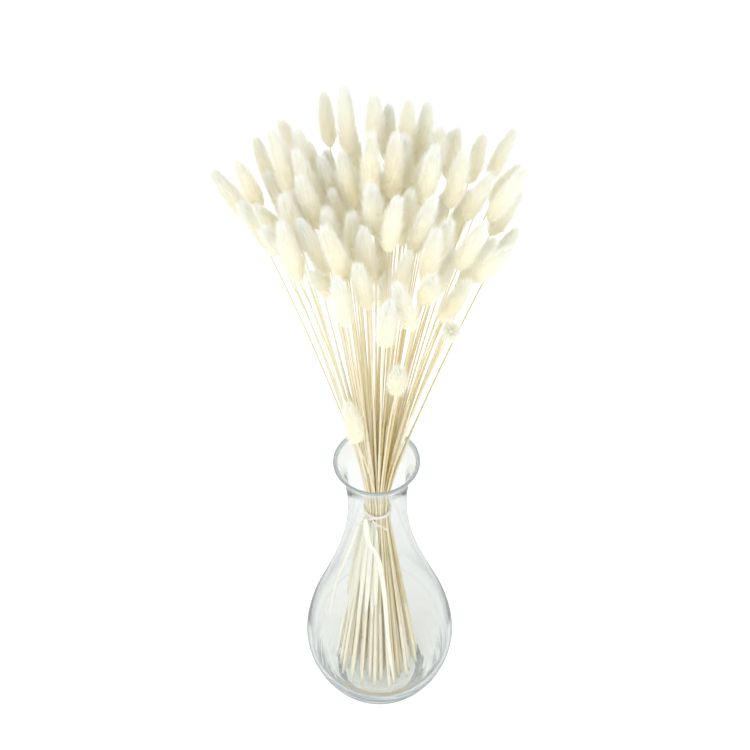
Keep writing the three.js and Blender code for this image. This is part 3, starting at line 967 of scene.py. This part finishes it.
def add_sheath(shell, points, radii, pale, rng):
    """Dry leaf sheaths hug the stem low down, and some again above the tie."""
    shortest = 15
    below_head = 25
    z = points[:, 2]
    spans = []
    if rng.uniform() < 0.85:
        spans.append((z[0] + 3, rng.uniform(90, 205)))
    if rng.uniform() < 0.7:
        start = rng.uniform(236, 340)
        spans.append((start, start + rng.uniform(30, 90)))
    for low, high in spans:
        high = min(high, z[-1] - below_head)
        if high < low + shortest:
            continue
        heights = np.linspace(low, high, 9)
        wider = rng.uniform(0.2, 0.5) * np.array([0.4, 1, 1, 1, 1, 1, 0.9, 0.7, 0.1])
        around = np.interp(heights, z, radii) + wider
        vertices, faces = tube(points_at(points, heights), around, 8)
        shell.add(vertices, faces, STRAW, min(1, pale + rng.uniform(0.2, 0.45)), rng.uniform(0, 1))


def points_at(points, heights):
    """Points of a stem at these heights."""
    return np.column_stack([np.interp(heights, points[:, 2], points[:, k]) for k in range(3)])


def add_papery_sheath_as_painted_light(shell, points, place, rng):
    """The outer stems at the left and in front have a wide white sheath in the vase. The papery sheaths
    are real, but white ones only at the lit left side are partly painted light.
    """
    if place[0] > 0.1 or place[1] > 0.4 or math.hypot(*place) < 0.4:
        return
    heights = np.linspace(rng.uniform(50, 140), rng.uniform(212, 222), 12)
    path = points_at(points, heights)
    path[:, :2] += unit(place) * rng.uniform(0.8, 2.0)
    taper = np.array([0.1, 0.55, 0.8, 0.95, 1, 1, 1, 1, 0.95, 0.8, 0.6, 0.4])
    half = rng.uniform(1.7, 2.7) * taper
    vertices, faces = tube(path, half, 8, SHEATH_FLATNESS, rng.uniform(-0.5, 0.5))
    # Fully pale: a white papery sheath, partly painted light of the lit left side.
    shell.add(vertices, faces, STRAW, 1, rng.uniform(0.6, 1))


def add_loose_sheath(shell, points, top, end, rng):
    """A long papery ribbon that turns a little and narrows quickly at both ends."""
    share = np.linspace(0, 1, 40)
    path = np.array([spline_point(points, t) for t in share])
    narrowing = np.minimum(1, np.minimum(0.3 + 6 * share, 8 * (1.02 - share)))
    half = (top + (end - top) * share) * narrowing
    vertices, faces = tube(path, half, 8, SHEATH_FLATNESS, 0.3 * np.sin(5 * share))
    shell.add(vertices, faces, STRAW, 1, rng.uniform(0.8, 1))


# Heads

def fullness(share):
    """Width of a head along its length: a round base and a long taper to a soft tip."""
    base = np.sqrt(1 - np.clip(1 - share / 0.22, 0, 1) ** 2)
    return base * (1 - 0.8 * np.clip((share - 0.35) / 0.65, 0, 1) ** 2.6)


def head_points(base, axis, share, radius, angle, length):
    """Points round the axis of a head, at a share of its length."""
    side = unit(np.cross(axis, [0.3, 1, 0.2]))
    other = np.cross(axis, side)
    ring = side * np.cos(angle)[:, None] + other * np.sin(angle)[:, None]
    return base + axis * (share * length)[:, None] + ring * radius[:, None]


def add_core(shell, base, axis, length):
    """The closed body under the hairs, golden like their roots but pale at the tip: painted warm shade
    deep in the head.
    """
    rings, sides = 9, 10
    share = np.repeat(np.arange(1, rings + 1) / (rings + 1), sides)
    angle = np.tile(np.arange(sides) * 2 * math.pi / sides, rings)
    radius = HEAD_CORE * fullness(share)
    body = head_points(base, axis, share * CORE_SHARE, radius, angle, length)
    ends = np.array([base, base + axis * length * CORE_SHARE])
    pale = np.concatenate([0.15 + 0.7 * share ** 3, [0.15, 0.9]])
    shell.add(np.concatenate([body, ends]), tube_faces(rings, sides), FLUFF, pale, 0.3)


def hair_ends(base, axis, length, width, rng):
    """Root and tip of each hair of a head, and the root's share of the length of the core."""
    count = int(HAIRS * length / USUAL_HEAD)
    order = (np.arange(count) + 0.5) / count
    root_share = 0.02 + 0.93 * order ** 0.9
    angle = math.radians(GOLDEN_ANGLE) * np.arange(count) + rng.uniform(-0.2, 0.2, count)
    reach = HAIR_LENGTH / length * rng.uniform(0.7, 1.2, count)
    tip_share = root_share + reach * (1 - 0.75 * root_share ** 2)
    stray = np.where(rng.uniform(size=count) < 0.6, rng.uniform(1.0, 1.6, count), 1)
    end_share = tip_share / (1 + 0.2 * HAIR_LENGTH / length)
    closing = np.where(end_share > 0.9, 1.6 * np.sqrt(rng.uniform(0, 1, count)), 1)
    tip_radius = width * fullness(np.minimum(end_share, 0.98)) * rng.uniform(0.6, 1.04, count)
    root_radius = 0.8 * HEAD_CORE * fullness(root_share)
    turn = angle + rng.normal(0, 0.12, count)
    roots = head_points(base, axis, root_share * CORE_SHARE, root_radius, angle, length)
    tips = head_points(base, axis, tip_share, tip_radius * stray * closing, turn, length)
    return roots, tips, root_share


def hair_spikes(roots, tips, base, axis, rng):
    """Points and faces of the hairs, each a thin spike with three sides."""
    count = len(roots)
    way = unit(tips - roots)
    side = unit(np.cross(way, unit(roots - base + axis)))
    other = np.cross(way, side)
    thick = HAIR_WIDTH * rng.uniform(0.75, 1.2, count)[:, None]
    corners = []
    for k in range(3):
        turned = 2 * math.pi * k / 3
        corners.append(roots + thick * (side * math.cos(turned) + other * math.sin(turned)))
    points = np.stack([*corners, tips], 1).reshape(-1, 3)
    first = 4 * np.arange(count)[:, None]
    spike = [[0, 2, 1], [0, 1, 3], [1, 2, 3], [2, 0, 3]]
    return points, np.concatenate([first + corner for corner in spike])


def add_hairs(shell, base, axis, length, width, shade, rng):
    """Hairs rise from the core and lean to the tip of the head."""
    roots, tips, root_share = hair_ends(base, axis, length, width, rng)
    points, faces = hair_spikes(roots, tips, base, axis, rng)
    # Painted shade: roots deep in the fluff are golden, and tips are paler towards the tip of the head.
    painted_root_shade = np.full(len(roots), 0.1)
    tip_pale = 0.68 + 0.4 * root_share
    pale = np.column_stack([painted_root_shade, painted_root_shade, painted_root_shade, tip_pale]).ravel()
    tone = np.repeat(np.clip(shade + rng.normal(0, 0.18, len(roots)), 0, 1), 4)
    shell.add(points, faces, FLUFF, pale, tone, smooth=False)


# Leaves

def add_leaf(shell, tails, i, height, length, flare, rng):
    """A thin dry blade that leaves its stem on the outer side."""
    steps = 17
    share = np.linspace(0, 1, steps)
    tie, base, bend = tails.tie[i], tails.base[i], tails.bend[i]
    root, top = point_above(tie, base, bend, np.array([height, height + length], float))
    up = unit(top - root)
    side = unit(np.array([-root[1], root[0], 0.0]))
    out = np.cross(side, up)
    away = STEM_RADIUS * 0.5 + 2.4 * share + flare * share ** 2
    middle = root + np.outer(away, out) + np.outer(share * length, up)
    half = LEAF_WIDTH / 2 * np.minimum(1, 0.4 + 3 * share) * (1 - 0.85 * share ** 1.8)
    vertices, faces = tube(middle, half, 10, LEAF_FLATNESS, math.pi * 0.2 * share)
    shell.add(vertices, faces, STRAW, rng.uniform(0.75, 0.9), rng.uniform(0, 1))


# Tails

def add_tail(shell, tails, i):
    """A stem, its head, and the leaves and loose sheaths that grow on it."""
    rng = np.random.default_rng(SEED * 1000 + i)
    add_stem(shell, tails, i, rng)
    base, axis, length = tails.base[i], tails.axis[i], tails.length[i]
    add_core(shell, base, axis, length)
    width = HEAD_RADIUS * rng.uniform(0.86, 1.1)
    add_hairs(shell, base, axis, length, width, rng.uniform(0.2, 0.8), rng)
    for tail, height, leaf_length, flare in LEAVES:
        if tail == i:
            add_leaf(shell, tails, i, height, leaf_length, flare, rng)
    for tail, points, top, end in LOOSE_SHEATHS:
        if tail == i:
            add_loose_sheath(shell, points, top, end, rng)


def make_tails(tails, pairs, materials):
    """One piece for each pair of neighbours, and one for each other tail."""
    paired = {i for pair in pairs for i in pair}
    groups = [*pairs, *((i,) for i in range(TAIL_COUNT) if i not in paired)]
    for group in groups:
        numbers = "_".join(f"{i + 1:02d}" for i in group)
        node = ("tails_" if len(group) == 2 else "tail_") + numbers
        shell = Shell()
        for i in group:
            add_tail(shell, tails, i)
        piece = shell.build("dried_" + node, materials)
        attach(piece, "root")
        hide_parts(node)


# Tie

def twisted(shell, path, radius):
    """A cord of a few strands twisted round a path."""
    strands = 3
    turns_per_mm = 0.28
    across, up = side_frames(path)
    run = np.concatenate([[0], np.cumsum(np.linalg.norm(np.diff(path, axis=0), axis=1))])
    for strand in range(strands):
        angle = 2 * math.pi * (run * turns_per_mm + strand / strands)
        lay = across * np.cos(angle)[:, None] + up * np.sin(angle)[:, None]
        vertices, faces = tube(path + lay * radius * 0.5, np.full(len(path), radius * 0.55), 6)
        shell.add(vertices, faces, 0, 0.8, 0.5)


def wind_string(shell, radius, knot_bearing):
    steps = 360
    angle = knot_bearing + np.linspace(0, 2 * math.pi * STRING_TURNS, steps)
    height = TIE_HEIGHT - STRING_SPREAD + 2 * STRING_SPREAD * np.linspace(0, 1, steps)
    wound = np.column_stack([radius * np.cos(angle), radius * np.sin(angle), height])
    twisted(shell, wound, STRING_RADIUS)


def add_knot(shell, middle):
    """A small coil of string, a little taller than it is wide."""
    turns = 1.4
    half_width, half_height, half_depth = 1.0, 1.2, 0.5
    loop = np.linspace(0, 2 * math.pi * turns, 60)
    outward = unit(middle * [1, 1, 0])
    along = np.cross([0, 0, 1], outward)
    flat = np.outer(half_width * np.cos(loop), along) + np.outer(half_height * np.sin(loop), [0, 0, 1])
    coil = middle + flat + np.outer(half_depth * np.sin(1.5 * loop), outward)
    twisted(shell, coil, STRING_RADIUS)


def make_tie():
    radius = TIE_RADIUS + STEM_RADIUS + STRING_RADIUS
    knot_bearing = math.radians(KNOT_BEARING)
    knot_stands_out = 0.6
    knot = np.array([math.cos(knot_bearing), math.sin(knot_bearing), 0]) * (radius + knot_stands_out)
    knot[2] = TIE_HEIGHT
    shell = Shell()
    wind_string(shell, radius, knot_bearing)
    add_knot(shell, knot)
    for points in LOOSE_ENDS:
        end = np.array([spline_point([knot, *points], t) for t in np.linspace(0, 1, 60)])
        twisted(shell, end, STRING_RADIUS * 0.8)
    tie = shell.build("string_tie", [string_material()])
    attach(tie, "root")
    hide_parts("tie")


# Studio

def floor_material():
    """White paper that glows for the camera only, and is dimmer in reflections."""
    material, tree = new_material("floor")
    paper = colour_ramp(tree, [
        (0.0, (0.88, 0.885, 0.87)),
        (1.0, (0.9, 0.905, 0.89)),
    ], stretched_noise(tree, 3, 3))
    path = add_node(tree, "ShaderNodeLightPath")
    mirrored = product(tree, path.outputs["Is Glossy Ray"], path.outputs["Is Reflection Ray"])
    dimmed = add_node(tree, "ShaderNodeVectorMath", operation="SCALE")
    tree.links.new(paper, dimmed.inputs[0])
    tree.links.new(fade(tree, mirrored, 0, 1, 1.0, FLOOR_REFLECTED), dimmed.inputs["Scale"])
    surface = add_node(tree, "ShaderNodeBsdfPrincipled", {"Roughness": 0.9, "Specular IOR Level": 0.1})
    glow = add_node(tree, "ShaderNodeEmission")
    both = add_node(tree, "ShaderNodeAddShader")
    output = add_node(tree, "ShaderNodeOutputMaterial")
    tree.links.new(dimmed.outputs["Vector"], surface.inputs["Base Color"])
    tree.links.new(product(tree, path.outputs["Is Camera Ray"], FLOOR_GLOW), glow.inputs["Strength"])
    tree.links.new(surface.outputs["BSDF"], both.inputs[0])
    tree.links.new(glow.outputs["Emission"], both.inputs[1])
    tree.links.new(both.outputs["Shader"], output.inputs["Surface"])
    return material


def make_floor():
    half = FLOOR_HALF
    mesh = bpy.data.meshes.new("floor")
    corners = [(-half, -half, 0), (half, -half, 0), (half, half, 0), (-half, half, 0)]
    mesh.from_pydata(corners, [], [(0, 1, 2, 3)])
    mesh.materials.append(floor_material())
    floor = bpy.data.objects.new("floor", mesh)
    add_to_scene(floor)


def make_world():
    """White for the camera. For other rays it is bright above and unevenly grey at the horizon."""
    world = bpy.data.worlds.new("studio")
    world.use_nodes = True
    tree = world.node_tree
    tree.nodes.clear()
    place = add_node(tree, "ShaderNodeTexCoord")
    split = add_node(tree, "ShaderNodeSeparateXYZ")
    tree.links.new(place.outputs["Generated"], split.inputs["Vector"])
    clouds = add_node(tree, "ShaderNodeTexNoise", {"Scale": 2.6, "Detail": 2.0})
    tree.links.new(place.outputs["Generated"], clouds.inputs["Vector"])
    uneven = swing(tree, clouds.outputs["Fac"], 0.5)
    sky = colour_ramp(tree, [
        (0.0, (0.78, 0.82, 0.84)),
        (0.12, (0.84, 0.87, 0.88)),
        (0.3, (0.92, 0.94, 0.95)),
        (0.5, (1.0, 1.0, 1.0)),
    ], calculate(tree, "ADD", split.outputs["Z"], uneven))
    seen = add_node(tree, "ShaderNodeBackground", {"Color": (1, 1, 1, 1), "Strength": 1.0})
    light = add_node(tree, "ShaderNodeBackground", {"Strength": SKY_STRENGTH})
    path = add_node(tree, "ShaderNodeLightPath")
    mix = add_node(tree, "ShaderNodeMixShader")
    output = add_node(tree, "ShaderNodeOutputWorld")
    tree.links.new(sky, light.inputs["Color"])
    tree.links.new(path.outputs["Is Camera Ray"], mix.inputs["Fac"])
    tree.links.new(light.outputs["Background"], mix.inputs[1])
    tree.links.new(seen.outputs["Background"], mix.inputs[2])
    tree.links.new(mix.outputs["Shader"], output.inputs["Surface"])
    bpy.context.scene.world = world


def make_light(name, place, size, power):
    data = bpy.data.lights.new(name, "AREA")
    data.shape = "DISK"
    data.size = size
    data.energy = power
    light = bpy.data.objects.new(name, data)
    light.location = place
    light.rotation_mode = "QUATERNION"
    light.rotation_quaternion = (Vector(LIGHT_TARGET) - Vector(place)).to_track_quat("-Z", "Y")
    add_to_scene(light)


def set_render():
    scene = bpy.context.scene
    scene.view_settings.view_transform = "Standard"
    scene.view_settings.exposure = 0.0
    for name, count in BOUNCES.items():
        setattr(scene.cycles, name, count)


make_camera()
make_world()
make_floor()
make_light("key", *KEY_LIGHT)
make_light("fill", *FILL_LIGHT)
set_render()

all_tails = place_tails()
tail_pairs = press_pairs(all_tails)
make_vase()
make_tie()
make_tails(all_tails, tail_pairs, [straw_material(), fluff_material()])
